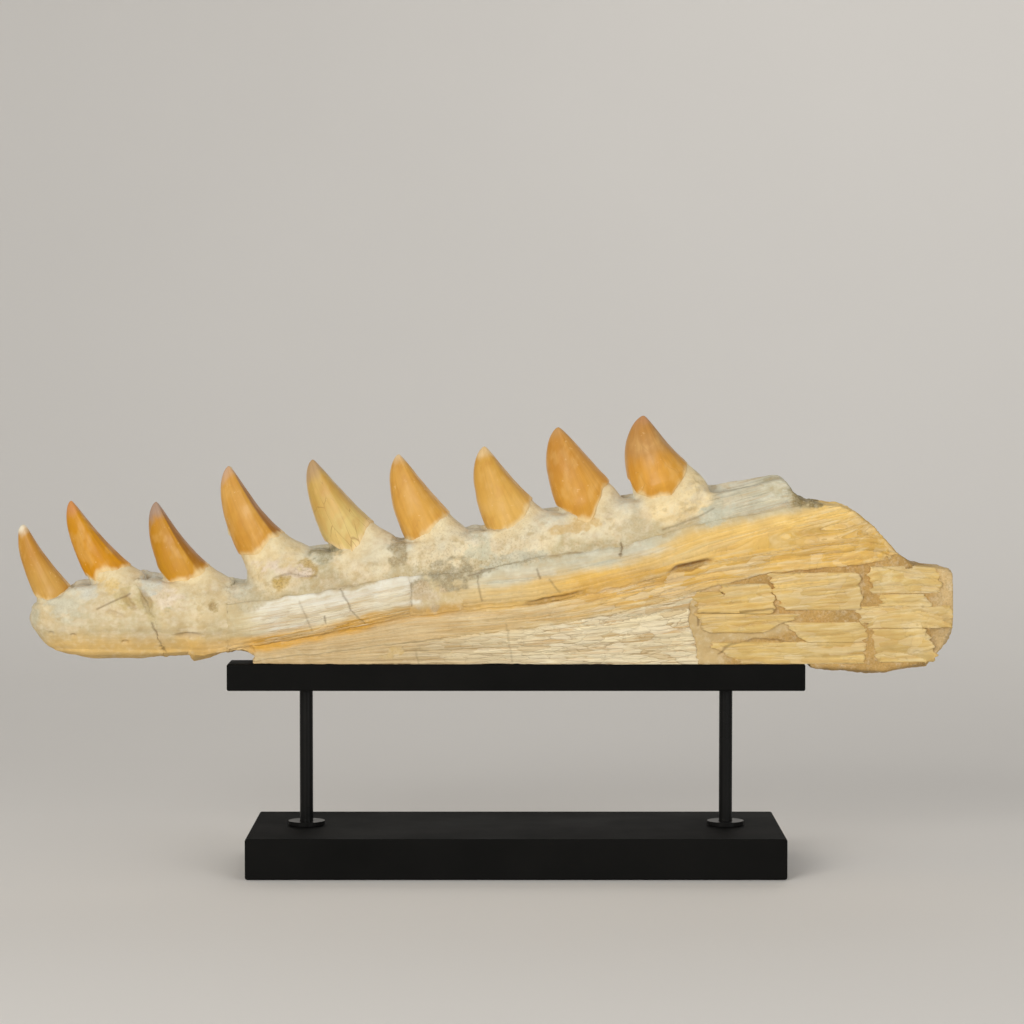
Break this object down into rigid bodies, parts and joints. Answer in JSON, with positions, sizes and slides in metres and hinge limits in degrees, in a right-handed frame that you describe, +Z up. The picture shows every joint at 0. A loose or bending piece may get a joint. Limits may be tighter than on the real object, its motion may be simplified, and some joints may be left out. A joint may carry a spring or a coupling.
{
  "type": "mosasaur jaw fossil on a stand",
  "caption": "Fossil lower jaw bone of a mosasaur with curved teeth, set in sandy rock, resting on a low black display stand with a beam and two rods.",
  "frame": {"origin": "centre of the underside of the stand's base", "axes": "+X toward the broken rear end of the jaw, -Y toward the viewer and the jaw's outer side, +Z up"},
  "size_m": [0.5602, 0.12, 0.2708],
  "materials": {
    "bone": "matt cream fossil bone, grainy",
    "pale_bone": "matt pale fossil bone with fine cracks",
    "gold_bone": "matt golden fibrous fossil bone",
    "matrix": "rough sandy matrix",
    "enamel": "polished amber tooth enamel",
    "stand": "satin black paint"
  },
  "bodies": {
    "root": {"jaw_tip": "bone", "jaw_front": "bone", "tooth_row_front": "bone", "tooth_row_rear": "bone", "splenial": "bone", "outer_slab_front": "pale_bone", "lower_slab": "pale_bone", "bone_plate_1": "pale_bone", "bone_plate_2": "pale_bone", "bone_plate_3": "pale_bone", "bone_plate_4": "pale_bone", "bone_plate_5": "pale_bone", "bone_plate_6": "pale_bone", "bone_plate_7": "pale_bone", "bone_plate_8": "pale_bone", "bone_plate_9": "pale_bone", "bone_plate_10": "pale_bone", "outer_slab_rear": "gold_bone", "lower_band": "gold_bone", "matrix_patch": "matrix", "rear_matrix": "matrix", "stand_base": "stand", "stand_beam": "stand", "stand_post_left": "stand", "stand_post_right": "stand", "stand_collar_left": "stand", "stand_collar_right": "stand"}
  },
  "joints": []
}
